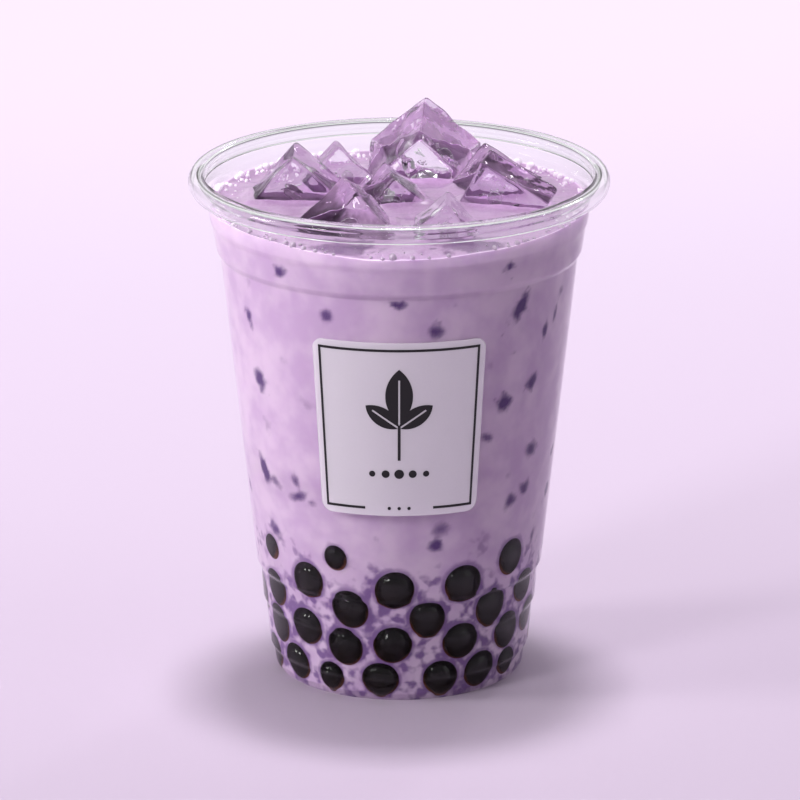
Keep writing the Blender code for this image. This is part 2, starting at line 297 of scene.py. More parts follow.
def rounded(points, reach, longest):
    """A path whose corners become curves, each p = (1-t)^2 a + 2t(1-t) c + t^2 b between places a and b up to
    reach from its corner c, and whose stretches are cut so that none is longer than longest."""
    points = np.asarray(points, dtype=float)
    blend = np.linspace(0.0, 1.0, 6)[:, None]
    path = [points[:1]]
    for before, corner, after in zip(points, points[1:], points[2:]):
        back, ahead = before - corner, after - corner
        start = corner + back * min(0.45, reach / np.linalg.norm(back))
        end = corner + ahead * min(0.45, reach / np.linalg.norm(ahead))
        path.append((1 - blend) ** 2 * start + 2 * blend * (1 - blend) * corner + blend**2 * end)
    path = np.concatenate(path + [points[-1:]])
    steps = np.maximum(1, np.ceil(np.linalg.norm(np.diff(path, axis=0), axis=1) / longest).astype(int))
    along = np.concatenate([[0.0], np.cumsum(steps)])
    return np.stack([np.interp(np.arange(along[-1] + 1), along, path[:, axis]) for axis in (0, 1)], -1)


def ripple(points, seed, length, waves=7):
    """Smooth noise of about -1 to 1: sine waves of nearly one length that run in random directions, summed
    and divided by the root of their number."""
    draw = np.random.default_rng(seed)
    total = 0.0
    for _ in range(waves):
        way = draw.normal(size=3)
        way *= TAU / (length * draw.uniform(0.7, 1.4) * np.linalg.norm(way))
        total = total + np.sin(points @ way + draw.uniform(0.0, TAU))
    return total / math.sqrt(waves)


def fade(values, low, high):
    """0 at low and 1 at high, with the smooth curve 3s^2 - 2s^3 between."""
    share = np.clip((values - low) / (high - low), 0.0, 1.0)
    return share * share * (3.0 - 2.0 * share)


# Node materials
def shade(red, green, blue):
    """A colour given as it shows on a screen, 0 to 255, as the light that the shader takes."""
    parts = np.array([red, green, blue]) / 255.0
    light = np.where(parts <= 0.04045, parts / 12.92, ((parts + 0.055) / 1.055) ** 2.4)
    return (*light.tolist(), 1.0)


class Wire:
    """An output of a node. Arithmetic on wires and numbers adds Math nodes."""

    def __init__(self, finish, socket):
        self.finish, self.socket = finish, socket

    def math(self, operation, *others):
        inputs = dict(enumerate((self, *others)))
        return self.finish.node("Math", {"operation": operation}, inputs)

    def __add__(self, other):
        return self.math("ADD", other)

    def __mul__(self, other):
        return self.math("MULTIPLY", other)

    def __sub__(self, other):
        return self.math("SUBTRACT", other)

    def __rsub__(self, other):
        return self.finish.node("Math", {"operation": "SUBTRACT"}, {0: other, 1: self})

    def __lt__(self, other):
        return self.math("LESS_THAN", other)

    def __abs__(self):
        return self.math("ABSOLUTE")

    __radd__, __rmul__ = __add__, __mul__


class Finish:
    """A node material: constants go straight on the shader, and node() adds each other node."""

    def __init__(self, name, **constants):
        self.material = bpy.data.materials.new(name)
        self.material.use_nodes = True
        self.tree = self.material.node_tree
        self.shader = self.tree.nodes["Principled BSDF"]
        self.output = self.tree.nodes["Material Output"]
        for socket, value in constants.items():
            self.shader.inputs[socket.replace("_", " ")].default_value = value

    def node(self, kind, settings=(), inputs=(), output=0):
        """Adds a node with its settings and a value or wire for each input, and returns one output."""
        made = self.tree.nodes.new("ShaderNode" + kind)
        for name, value in dict(settings).items():
            setattr(made, name, value)
        for socket, value in dict(inputs).items():
            self.join(made.inputs[socket], value)
        return Wire(self, made.outputs[output])

    def join(self, socket, value):
        """Links a wire to a socket, or sets the socket to a value."""
        if isinstance(value, Wire):
            self.tree.links.new(value.socket, socket)
        else:
            socket.default_value = value

    def feed(self, **wires):
        """Links wires to the shader's own sockets."""
        for socket, value in wires.items():
            self.join(self.shader.inputs[socket.replace("_", " ")], value)

    def place(self):
        """The place on the object."""
        return self.node("TexCoord", output="Object")

    def parts(self, vector):
        """The three numbers of a vector."""
        split = self.node("SeparateXYZ", inputs={0: vector})
        return [Wire(self, socket) for socket in split.socket.node.outputs]

    def length(self, across, up):
        """The length of the vector that two numbers make."""
        vector = self.node("CombineXYZ", inputs={0: across, 1: up})
        return self.node("VectorMath", {"operation": "LENGTH"}, {0: vector}, "Value")

    def layer(self, name):
        """A number stored on the mesh."""
        return self.node("Attribute", {"attribute_name": name}, output="Fac")

    def noise(self, scale, detail=2.0, roughness=0.5):
        """Noise of 0 to 1 over the object, with scale in waves to the metre."""
        inputs = {"Vector": self.place(), "Scale": scale, "Detail": detail, "Roughness": roughness}
        return self.node("TexNoise", inputs=inputs)

    def fade(self, value, low, high):
        """0 below low and 1 above high, smooth between."""
        settings = {"interpolation_type": "SMOOTHSTEP"}
        return self.node("MapRange", settings, {0: value, 1: low, 2: high, 3: 0.0, 4: 1.0})

    def mix(self, mask, below, above):
        """Colour below where the mask is 0 and colour above where it is 1."""
        return self.node("Mix", {"data_type": "RGBA"}, {0: mask, 6: below, 7: above}, 2)

    def bump(self, height, strength, distance):
        """Relief from a height of 0 to 1 that stands for a distance in metres."""
        inputs = {"Height": height, "Strength": strength, "Distance": distance}
        self.feed(Normal=self.node("Bump", inputs=inputs))

    def let_light_through(self, tint):
        """Lets the lamps shine through a clear solid, tinted, where it would cast a full shadow."""
        shadow = self.node("LightPath", output="Is Shadow Ray")
        clear = self.node("BsdfTransparent", inputs={"Color": tint}, output="BSDF")
        inputs = {0: shadow, 1: Wire(self, self.shader.outputs[0]), 2: clear}
        self.join(self.output.inputs["Surface"], self.node("MixShader", inputs=inputs))


def plastic_finish():
    """Clear moulded plastic, with faint flow lines from the mould."""
    made = Finish(
        "clear moulded plastic", Roughness=0.02, IOR=1.32, Transmission_Weight=1.0,
        Base_Color=(0.965, 0.99, 0.972, 1.0), Specular_Tint=(0.4, 0.4, 0.4, 1.0),
    )  # fmt: skip
    made.bump(made.noise(60.0, 2.0), 0.25, 0.0003)
    made.let_light_through((0.97, 0.975, 0.975, 1.0))
    return made.material


def milk_finish():
    """Taro milk: pale violet and cloudy, with froth on top painted darker as shade, dark flecks, violet
    patches low down, and painted violet shade round the pearls and in the ice's pockets.
    """
    made = Finish(
        "taro milk", IOR=1.36, Subsurface_Weight=0.35, Subsurface_Scale=0.0016,
        Subsurface_Radius=(1.0, 0.75, 1.1),
    )  # fmt: skip
    cloud = 0.62 * made.noise(48.0, 3.0, 0.55) + 0.38 * made.noise(190.0, 2.0, 0.5)
    base = made.mix(made.fade(cloud, 0.36, 0.64), shade(191, 161, 198), shade(209, 184, 211))
    # Painted shade: dark violet round each pearl, broken up by noise, joined to violet patches low down
    halo = made.fade(made.layer("halo") + 1.3 * (made.noise(360.0, 2.0) - 0.5), 0.3, 1.0)
    patches = made.noise(360.0, 1.5, 0.5) + 0.14 * made.layer("low")
    violet_patches_and_pearl_shade = made.fade(patches, 0.58, 0.78).math("MAXIMUM", halo) * made.layer("low")
    milky = made.mix(0.86 * violet_patches_and_pearl_shade, base, shade(100, 62, 128))
    # Froth on top, and painted shade: the top is painted darker than the sides
    froth_with_painted_shade = made.mix(made.noise(1500.0, 1.0), shade(152, 122, 156), shade(176, 148, 180))
    topped = made.mix(made.layer("top"), milky, froth_with_painted_shade)
    # Painted shade in the pockets under the ice, where little light reaches the drink
    pocket_shade = made.mix(made.noise(170.0), shade(76, 54, 78), shade(160, 132, 162))
    with_pocket_shade = made.mix(made.layer("pocket"), topped, pocket_shade)
    fleck = made.fade(made.layer("fleck") + 0.2 * (made.noise(620.0, 1.0) - 0.5), 0.06, 0.78)
    flecked = made.mix(0.95 * fleck, with_pocket_shade, shade(70, 34, 104))
    made.feed(Base_Color=flecked, Roughness=0.38 - 0.24 * made.layer("top"))
    made.bump(made.noise(240.0, 2.0), 0.15, 0.0002)
    return made.material


def ice_finish():
    """Clear wet ice with a breath of violet, soft melted waves and fine ripples."""
    made = Finish(
        "clear ice", Roughness=0.015, IOR=1.31, Transmission_Weight=1.0, Base_Color=shade(243, 237, 246)
    )  # fmt: skip
    made.bump(0.75 * made.noise(140.0, 2.0) + 0.25 * made.noise(620.0, 1.0), 0.5, 0.0006)
    made.let_light_through((0.7, 0.62, 0.72, 1.0))
    return made.material


def pearl_finish():
    """Wet tapioca: nearly black, with painted light: browner low down and a brown glow painted on the lower
    edge, where light would shine through.
    """
    made = Finish("wet tapioca", Roughness=0.06, IOR=1.4, Specular_IOR_Level=0.35)
    edge = made.fade(made.layer("edge") + 0.14 * (made.noise(420.0, 2.0) - 0.5), 0.7, 0.9)
    # Painted light: brown low on each pearl and a brown glow on its lower edge; the top stays nearly black as
    # painted shade
    dark = made.mix(made.layer("warm"), shade(4, 3, 2), shade(22, 13, 9))
    made.feed(Base_Color=made.mix(0.8 * edge * made.layer("warm"), dark, shade(122, 66, 40)))
    return made.material


def foam_finish():
    """Foam bubbles: thin milky films, pale and glossy, with painted shade that darkens them towards the front
    and at the ice.
    """
    made = Finish("foam", Roughness=0.06, IOR=1.33, Transmission_Weight=0.3, Coat_Weight=0.6)
    made.feed(Base_Color=made.mix(made.layer("tone"), shade(252, 244, 253), shade(128, 92, 132)))
    made.let_light_through((0.8, 0.75, 0.82, 1.0))
    return made.material


def air_finish():
    """Air in the ice, whose surface bends light as ice does, but the other way."""
    made = Finish("trapped air", Roughness=0.02, IOR=1.0 / 1.31, Transmission_Weight=1.0)
    made.let_light_through((0.95, 0.95, 0.97, 1.0))
    return made.material


def leaf(across, up, lean, foot, long, wide):
    """A pointed leaf, where two discs overlap, that leans from the upright, with a clear line up it."""
    turn = math.radians(lean)
    along = (up - foot) * math.cos(turn) + across * math.sin(turn) - 0.5 * long
    side = across * math.cos(turn) - (up - foot) * math.sin(turn)
    radius = ((0.5 * long) ** 2 + (0.5 * wide) ** 2) / wide
    away = across.finish.length(abs(side) + (radius - 0.5 * wide), along)
    vein = (abs(side) < 0.2) * (along < 0.3 * long)
    return (away < radius) * (1.0 - vein)


def label_finish():
    """A frosted see-through film with a thin black frame and a sprig of three leaves over a row of dots."""
    made = Finish("frosted label film", IOR=1.45)
    across, up, _ = made.parts(made.node("UVMap", {"uv_map": "film"}))
    outside = abs(across).math("MAXIMUM", abs(up) * (FRAME_HALF_WIDTH / FRAME_HALF_HEIGHT))
    gap = (abs(across) < FRAME_GAP) * (up < 0.0)
    ink = (abs(outside - FRAME_HALF_WIDTH) < FRAME_LINE) * (1.0 - gap)
    for lean, foot, long, wide in LEAVES:
        ink = ink.math("MAXIMUM", leaf(across, up, lean, foot, long, wide))
    stem = (abs(across) < STEM_HALF_WIDTH) * (abs(up - STEM_MIDDLE) < STEM_HALF_HEIGHT)
    ink = ink.math("MAXIMUM", stem)
    for place, height, radius in DOTS:
        ink = ink.math("MAXIMUM", made.length(across - place, up - height) < radius)
    frost = made.noise(2600.0, 2.0, 0.7)
    film = made.mix(frost, shade(247, 244, 249), shade(253, 251, 254))
    printed = made.mix(ink, film, shade(9, 8, 10))
    made.feed(Base_Color=printed, Alpha=0.46 + 0.54 * ink, Roughness=0.42 + 0.1 * ink)
    made.bump(frost, 0.2, 0.00004)
    return made.material


# The cup
def wall_path(inset):
    """The outside of the wall from foot to neck as (radius, height), moved in by inset."""
    path = [*FOOT]
    for height, below, above in STEPS:
        path += [(below, height), (above, height + STEP_RISE)]
    path.append(NECK)
    (foot_radius, _), *rest = path
    moved = [(radius - inset, height + INSET_RISE * inset) for radius, height in rest]
    return [(foot_radius - inset, inset)] + moved


def radius_at(height, inset):
    """Radius of the wall at each height, moved in by inset, along its rounded outline."""
    path = rounded(wall_path(inset), CORNER_REACH, 0.5)
    return np.interp(height, path[:, 1], path[:, 0])


def straight(height, inset):
    """Radius along the straight line that runs just inside the steps low down, moved in by inset."""
    return STRAIGHT_FROM[0] - inset + STRAIGHT_SLOPE * (height - STRAIGHT_FROM[1])


def contents_radius(height, inset):
    """Radius of what lies in the cup: the wall's own, but along the straight line where that is smaller."""
    return np.minimum(radius_at(height, inset), straight(height, inset))


def cup_profile():
    """Under the foot, up the outside, round the hollow of the roll and back over it, down the inside and over
    the floor. Low down the inside is moved in by THICK_FOOT."""
    hollow = np.radians(np.linspace(BEAD_FROM, BEAD_TURN, 15))
    roll = np.radians(np.linspace(BEAD_TURN, BEAD_TO, 17))
    centre, half = np.array(BEAD_CENTRE), np.array(BEAD_HALF)
    bead = np.concatenate([
        centre + (half - BEAD_SHEET) * np.stack([np.cos(hollow), np.sin(hollow)], -1),
        centre + half * np.stack([np.cos(roll), np.sin(roll)], -1),
    ])  # fmt: skip
    inside = wall_path(WALL)[::-1]
    floor = [(PANEL[1][0] - WALL, PANEL[1][1] + WALL), (0.0, PANEL[0][1] + WALL)]
    foot = (PANEL[2][0], WALL)
    path = [*PANEL, *wall_path(0.0), *RIM_UNDERSIDE, *bead.tolist(), *RIM_INSIDE, *inside, foot, *floor]
    path = rounded(path, CORNER_REACH, CUP_SPACING)
    inner = path[np.argmax(path[:, 1]):]
    low = 1.0 - fade(inner[:, 1], *THICK_FOOT_ENDS)
    wide = fade(inner[:, 0], *(PANEL[2][0] + start for start in THICK_FOOT_STARTS))
    inner[:, 0] = np.minimum(inner[:, 0], straight(inner[:, 1], WALL)) - THICK_FOOT * low * wide
    return path


def add_cup(finish):
    """The cup, turned from its profile."""
    path = cup_profile()
    points = ring_points(path[1:-1, :1], path[1:-1, 1:], CUP_COLUMNS, path[0, 1], path[-1, 1])
    mesh = make_mesh("clear_cup", points, *ring_faces(len(path) - 2, CUP_COLUMNS))
    return add_piece("clear_cup", mesh, finish, ["cup"])


# Pearls
def pearl_nodes():
    """The names of the pearls' solids."""
    return sorted(node for node in frame["nodes"] if node.startswith("pearl_"))


def pearl_places():
    """Azimuth in radians, height and width of each pearl, read from its solid."""
    rows = []
    for name in pearl_nodes():
        low, high = np.array(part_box(name)) / MM
        middle = 0.5 * (low + high)
        rows.append((math.atan2(middle[0], -middle[1]), middle[2], high[2] - low[2]))
    return np.array(rows)


def add_pearls(places, finish):
    """Pearls that press against the wall. Away from its middle the front of a pearl falls back from the wall
    by h (1 - (1 - s^p)^(1/p)), where s is the share of its radius and h half its depth; its back is half a
    ball."""
    front = np.linspace(0.0, 0.5 * math.pi, PEARL_ROWS_FRONT + 1)[1:]
    back = np.linspace(0.5 * math.pi, math.pi, PEARL_ROWS_BACK + 1)[1:-1]
    power = 2.0 / PEARL_POWER
    share = np.concatenate([np.sin(front) ** power, np.sin(back)])[:, None]
    fall = np.concatenate([1.0 - np.cos(front).clip(0) ** power, 1.0 - np.cos(back)])[:, None]
    turn = np.linspace(0.0, TAU, PEARL_COLUMNS, endpoint=False)[None, :]
    side = np.append((share * np.sin(turn)).ravel(), (0.0, 0.0))
    up = np.append((share * np.cos(turn)).ravel(), (0.0, 0.0))
    fall = np.append((fall + 0.0 * turn).ravel(), (0.0, 2.0))
    azimuth, height, width = (places[:, column][:, None] for column in range(3))
    radius = 0.5 * PEARL_GROWTH * width
    uneven = 1.0 + PEARL_UNEVEN * np.sin(2.0 * np.arctan2(side, up) + 9.0 * azimuth)
    level = height + radius * up * uneven
    out = contents_radius(level, WALL - MILK_INTO_WALL) - PEARL_HALF_DEPTH * width * fall + 0.02
    angle = azimuth + radius * side * uneven / radius_at(height, WALL)
    points = round_axis(out, angle, level)
    quads, fans = ring_faces(PEARL_ROWS_FRONT + PEARL_ROWS_BACK - 1, PEARL_COLUMNS)
    all_points, faces = repeated(points, (quads[:, ::-1], fans[:, ::-1]))
    mesh = make_mesh("tapioca_pearls", all_points, *faces)
    edge = np.tile(np.where(fall < 1.0, np.hypot(side, up), 1.0), len(places))
    # The lower part of each pearl is stored for its painted light
    store(mesh, edge=edge, warm=np.tile(fade(-up, -0.5, 0.9), len(places)))
    return add_piece("tapioca_pearls", mesh, finish, pearl_nodes())


# Ice
def block_frame(corner, end, lengths, angles):
    """Turning matrix and centre of a block of ice from its top corner."""
    right, top, left = lengths
    turn, dip, roll = (math.radians(angle) for angle in angles)
    tilt = Matrix.Rotation(turn, 3, "Z") @ Matrix.Rotation(dip, 3, "X") @ Matrix.Rotation(roll, 3, "Y")
    along = 0.5 * top if end == "back" else -0.5 * top
    centre = Vector(corner) + tilt @ Vector((0.5 * right, -along, -0.5 * left))
    return np.array(tilt), np.array(centre)


def block_surface(lengths):
    """A block with rounded edges: each point of a box is pulled to a core smaller by ICE_EDGE, and pushed out
    from it by as much along the line between them. Returns points, outward directions, faces and the points
    of the box as shares of its half sizes."""
    steps = np.linspace(-1.0, 1.0, ICE_SIDES)
    spread = np.sin(0.5 * math.pi * steps) * 0.85 + steps * 0.15
    first, second = np.meshgrid(spread, spread, indexing="ij")
    index = np.arange(ICE_SIDES**2).reshape(ICE_SIDES, ICE_SIDES)
    square = np.stack([index[:-1, :-1], index[1:, :-1], index[1:, 1:], index[:-1, 1:]], -1).reshape(-1, 4)
    cube, faces = [], []
    for axis in range(3):
        for way in (1.0, -1.0):
            grid = np.empty((ICE_SIDES**2, 3))
            grid[:, axis] = way
            grid[:, (axis + 1) % 3] = first.ravel()
            grid[:, (axis + 2) % 3] = second.ravel()
            faces.append((square if way > 0 else square[:, ::-1]) + len(cube) * ICE_SIDES**2)
            cube.append(grid)
    cube, welded = np.unique(np.concatenate(cube).round(7), axis=0, return_inverse=True)
    half = 0.5 * np.array(lengths)
    box = cube * half
    core = np.clip(box, ICE_EDGE - half, half - ICE_EDGE)
    out = (box - core) / np.linalg.norm(box - core, axis=1, keepdims=True)
    return core + ICE_EDGE * out, out, welded.ravel()[np.concatenate(faces)], cube


def ice_points(name, shrink=0.0):
    """Points and faces of one block, melted: its faces sink a little and carry slow waves."""
    corner, end, lengths, angles = ICE[name]
    surface, out, faces, cube = block_surface(lengths)
    melt = MELT_SINK * np.prod(1.0 - cube**2 + (np.abs(cube) > 0.999), axis=1)
    for height, length, seed in MELT_WAVES:
        melt = melt + height * (1.0 + ripple(surface, seed + list(ICE).index(name), length))
    surface = surface - out * (melt[:, None] + shrink)
    tilt, centre = block_frame(corner, end, lengths, angles)
    return surface @ tilt.T + centre, faces


def add_ice(finish):
    """All the ice as one piece."""
    points, faces, total = [], [], 0
    for name in ICE:
        block, quads = ice_points(name)
        points.append(block)
        faces.append(quads + total)
        total += len(block)
    mesh = make_mesh("ice_cubes", np.concatenate(points), np.concatenate(faces))
    return add_piece("ice_cubes", mesh, finish, list(ICE))


def add_flaws(finish):
    """Air caught in the ice: clusters of tiny bubbles, and cracks as wide flat lenses, slightly bent."""
    draw = np.random.default_rng(71)
    rows, columns = 7, 20
    ball = unit_ball(rows, columns)
    shapes = []
    for corner, end, lengths, angles in ICE.values():
        tilt, centre = block_frame(corner, end, lengths, angles)
        half = 0.5 * np.array(lengths)
        cluster = draw.uniform(-0.3, 0.3, 3) * half
        for _ in range(AIR_BUBBLES):
            spot = np.clip(cluster + draw.normal(0.0, 0.9, 3), -0.7 * half, 0.7 * half)
            shapes.append((ball * draw.uniform(0.1, 0.3) + spot) @ tilt.T + centre)
        for _ in range(CRACKS):
            size = draw.uniform(0.3, 0.5, 2) * half.min()
            lens = ball * np.array([*size, 0.05])
            bend = 0.03 * lens[:, 0] ** 2 - 0.02 * lens[:, 0] * lens[:, 1]
            lens[:, 2] += bend + 0.12 * ripple(lens, draw.integers(99), 2.5)
            way, _ = np.linalg.qr(draw.normal(size=(3, 3)))
            spot = draw.uniform(-0.35, 0.35, 3) * half
            shapes.append((lens @ (way * np.linalg.det(way)).T + spot) @ tilt.T + centre)
    points, faces = repeated(np.array(shapes), ring_faces(rows, columns))
    return add_piece("ice_flaws", make_mesh("ice_flaws", points, *faces), finish)


# The drink
def edge_height(azimuth):
    """How high the drink stands at the wall: lowest in front, and higher where foam climbs at the sides and
    back, with small waves."""
    from_front = np.degrees(np.abs((azimuth + math.pi) % TAU - math.pi))
    height = EDGE_HEIGHT - EDGE_DIP * np.exp(-((from_front / EDGE_DIP_SPREAD) ** 2))
    return height + 0.12 * np.sin(7.0 * azimuth) + 0.08 * np.sin(17.0 * azimuth + 1.0)


def top_height(edge, inward):
    """Height of the drink's top, from its edge at the wall to its level: the difference fades with the
    distance d from the wall as exp(-(d / EDGE_REACH)^1.3)."""
    return LEVEL + (edge - LEVEL) * np.exp(-((inward / EDGE_REACH) ** 1.3))


def climb(points):
    """How far the drink climbs near each block of ice, as a wet surface does: highest at the ice, and fading
    with the distance d from it as exp(-d / CLIMB_REACH)."""
    near = np.full(points.shape[:-1], 99.0)
    for corner, end, lengths, angles in ICE.values():
        tilt, centre = block_frame(corner, end, lengths, angles)
        apart = np.abs((points - centre) @ tilt) - 0.5 * np.array(lengths)
        near = np.minimum(near, np.linalg.norm(apart.clip(0), axis=-1))
    return CLIMB * np.exp(-near / CLIMB_REACH)


def milk_surface():
    """The milk from the floor up the wall, which it reaches into, and over its wavy top to the middle."""
    inset = WALL - MILK_INTO_WALL
    side = rounded(wall_path(inset), CORNER_REACH, MILK_SPACING)
    side = side[side[:, 1] < LEVEL - 0.05]
    azimuth = np.linspace(0.0, TAU, MILK_COLUMNS, endpoint=False)[None, :]
    edge = edge_height(azimuth)
    height = side[:, 1:] + 0.0 * azimuth
    lift = (height - LIFT_FROM).clip(0) / (height.max() - LIFT_FROM)
    height = height + lift * (edge - height.max())
    radius = contents_radius(height, inset) - STAND_BACK * (1.0 - fade(height, *THICK_FOOT_ENDS))
    near_wall = [0.2, 0.45, 0.75, 1.1, 1.6, 2.2, 3.0, 3.9]
    inward = np.concatenate([near_wall, np.arange(4.7, 43.0, TOP_SPACING)])[:, None]
    top_radius = radius[-1:] - inward
    plane = round_axis(top_radius, azimuth, LEVEL + 0.0 * top_radius)
    waves = 0.14 * ripple(plane, 5, 9.0) + 0.06 * ripple(plane, 6, 3.6)
    top = top_height(edge, inward) + (waves + climb(plane)) * fade(inward, 0.0, 4.0)
    bottom = PANEL[0][1] + inset
    floor = np.array([[MILK_FLOOR, bottom], [PANEL[2][0], inset]])[:, :, None] + 0.0 * azimuth
    radius = np.concatenate([floor[:, 0], radius, top_radius])
    height = np.concatenate([floor[:, 1], height, top])
    points = ring_points(radius, height, MILK_COLUMNS, bottom, LEVEL)
    return make_mesh("taro_drink", points, *ring_faces(len(radius), MILK_COLUMNS))


def all_flecks():
    """The flecks that show in front, and others like them round the back."""
    draw = np.random.default_rng(23)
    back = np.stack([draw.uniform(least, most, BACK_FLECKS) for least, most in BACK_FLECK_ENDS], -1)
    return np.concatenate([np.array(FLECKS, dtype=float), back])


def from_azimuth(azimuth, place):
    """How far round from a place each azimuth is, the short way, in radians."""
    return (azimuth - place + math.pi) % TAU - math.pi


def fleck_mask(azimuth, height, around, rough):
    """How strongly each point of the milk is in a fleck: soft ovals whose edges the roughness breaks up."""
    mask = np.zeros(len(height))
    for place, level, width, tall, tilt, strength in all_flecks():
        turn = math.radians(tilt)
        apart = from_azimuth(azimuth, math.radians(place)) * around
        over = height - level
        across = apart * math.cos(turn) + over * math.sin(turn)
        along = over * math.cos(turn) - apart * math.sin(turn)
        near = np.hypot(across / (0.5 * width), along / (0.5 * tall)) * rough
        mask = np.maximum(mask, strength * (1.0 - fade(near, 0.15, 2.0)))
    return mask


def halo_mask(azimuth, height, around, pearls):
    """How near each point of the milk is to the outline of a pearl, for the painted shade round it."""
    mask = np.zeros(len(height))
    for place, level, width in pearls:
        near = np.hypot(from_azimuth(azimuth, place) * around, height - 0.35 - level) - 0.5 * width
        mask = np.maximum(mask, 1.0 - fade(near, -0.2, 1.9))
    return mask


def paint_milk(mesh, pearls):
    """Stores where the flecks are, the painted shade round the pearls, the violet lower part, the frothy top
    that is painted darker as shade, the painted shade in the ice's pockets and the painted dark patches where
    ice would show just under the surface."""
    points = places_of(mesh)
    azimuth, height = np.arctan2(points[:, 0], -points[:, 1]), points[:, 2]
    around = np.hypot(points[:, 0], points[:, 1])
    from_wall = radius_at(height, WALL) - around
    at_wall = (1.0 - fade(from_wall, 3.6, 5.0)) * (height < LEVEL - 1.0)
    rough = 1.0 + 0.24 * ripple(points, 11, 2.8) + 0.08 * ripple(points, 12, 1.4)
    # Painted violet shade round the outline of each pearl; the violet lower part takes it in as well
    halo = halo_mask(azimuth, height, around, pearls)
    low = np.maximum(1.0 - fade(height + 5.0 * ripple(points, 13, 14.0), 26.0, 40.0), 0.8 * halo)
    # The frothy top, which is painted darker than the sides as shade
    top = (height > LEVEL - 1.4) * fade(from_wall, 0.0, 0.5)
    # Painted shade in the drink's pockets under the ice, lighter towards the back
    pocket = (1.0 - fade(height, LEVEL - 0.6, LEVEL - 0.3)) * fade(from_wall, 1.5, 2.0) * (height > 80.0)
    pocket = pocket * (1.0 - 0.5 * fade(points[:, 1], 9.0, 14.0))
    # Painted dark patches, in the pocket shade colour, where ice would show just under the surface
    ice_shade_patches = np.zeros(len(points))
    for x, y, wide, deep in PAINTED_ICE_SHADE_PATCHES:
        near = np.hypot((points[:, 0] - x) / wide, (points[:, 1] - y) / deep) * rough
        ice_shade_patches = np.maximum(ice_shade_patches, 1.0 - fade(near, 0.75, 1.2))
    ice_shade_patches = ice_shade_patches * (height > LEVEL - 1.0) * fade(from_wall, 0.3, 1.0)
    fleck = np.maximum(fleck_mask(azimuth, height, around, rough) * at_wall, 0.3 * ice_shade_patches)
    pocket = np.maximum(pocket, ice_shade_patches)
    store(mesh, fleck=fleck, halo=halo * at_wall, low=low * at_wall, top=top, pocket=pocket)


def add_drink(pearls, finish):
    """The milk with a pocket for each block of ice."""
    milk = link("milk_body", milk_surface())
    pockets = bpy.data.collections.new("ice_pockets")
    bpy.context.scene.collection.children.link(pockets)
    for name in ICE:
        shape = make_mesh(name + "_pocket", *ice_points(name, POCKET_SHRINK))
        pockets.objects.link(bpy.data.objects.new(name + "_pocket", shape))
    cut = milk.modifiers.new("ice pockets", "BOOLEAN")
    cut.operation, cut.operand_type, cut.solver = "DIFFERENCE", "COLLECTION", "MANIFOLD"
    cut.collection = pockets
    bpy.context.view_layer.update()
    mesh = bpy.data.meshes.new_from_object(milk.evaluated_get(bpy.context.evaluated_depsgraph_get()))
    for helper in [milk, *pockets.objects]:
        bpy.data.objects.remove(helper)
    bpy.data.collections.remove(pockets)
    mesh.name = "taro_drink"
    mesh.materials.clear()
    mesh.shade_smooth()
    mesh.set_sharp_from_angle(angle=math.radians(48))
    paint_milk(mesh, pearls)
    return add_piece("taro_drink", mesh, finish, ["drink"])


# Foam
def foam_places(draw):
    """Azimuth, radius and distance from the wall of the large bubbles in front and of the rings of bubbles
    along the wall, which are large at the back and sides and small and few in front."""
    azimuth, radii = [np.radians(FRONT_BUBBLES[:, 0])], [FRONT_BUBBLES[:, 1]]
    inward = [0.8 * FRONT_BUBBLES[:, 1]]
    for offset, small, large, gap in FOAM_RINGS:
        size = draw.uniform(small, large, RING_DRAWS)
        turn = np.cumsum(2.1 * size + draw.exponential(gap, RING_DRAWS)) / RING_RADIUS
        size, turn = size[turn < TAU], turn[turn < TAU]
        kept = draw.random(len(size)) < 0.3 + 0.7 * np.abs(np.sin(0.5 * turn))
        size, turn = size[kept], turn[kept]
        azimuth.append(turn)
        radii.append(size * (0.4 + 0.6 * np.abs(np.sin(0.5 * turn))))
        inward.append(offset + draw.uniform(-0.25, 0.25, len(size)))
    return (np.concatenate(rows) for rows in (azimuth, radii, inward))


def add_foam(finish):
    """Bubbles along the wall, clear of the ice, and tiny ones where ice leaves the drink in front; the tiny
    ones and those towards the front carry painted shade.
    """
    draw = np.random.default_rng(31)
    azimuth, radii, inward = foam_places(draw)
    edge = edge_height(azimuth)
    places = round_axis(radius_at(edge, WALL) - inward, azimuth, top_height(edge, inward) + 0.2 * radii)
    clear = np.ones(len(places), dtype=bool)
    water = []
    for name, (corner, end, lengths, angles) in ICE.items():
        tilt, centre = block_frame(corner, end, lengths, angles)
        local = np.abs((places - centre) @ tilt) - 0.5 * np.array(lengths)
        clear &= (local > 0.1).any(axis=1)
        surface = ice_points(name, -0.1)[0]
        near = surface[(np.abs(surface[:, 2] - LEVEL - 0.15) < 0.3) & (surface[:, 1] < centre[1])]
        water.append(near[draw.integers(0, len(near), WATERLINE_BUBBLES)])
    water = np.concatenate(water)
    # Painted shade: bubbles darken towards the front, and the tiny ones at the ice are darkest
    tone = np.concatenate([0.7 * fade(-places[clear, 1], 5.0, 30.0), np.ones(len(water))])
    radii = np.concatenate([radii[clear], draw.uniform(0.12, 0.27, len(water))])
    places = np.concatenate([places[clear], water])
    rows, columns = 7, 12
    balls = places[:, None, :] + radii[:, None, None] * unit_ball(rows, columns)[None]
    points, faces = repeated(balls, ring_faces(rows, columns))
    mesh = make_mesh("foam_bubbles", points, *faces)
    store(mesh, tone=np.repeat(tone, len(points) // len(tone)))
    return add_piece("foam_bubbles", mesh, finish)


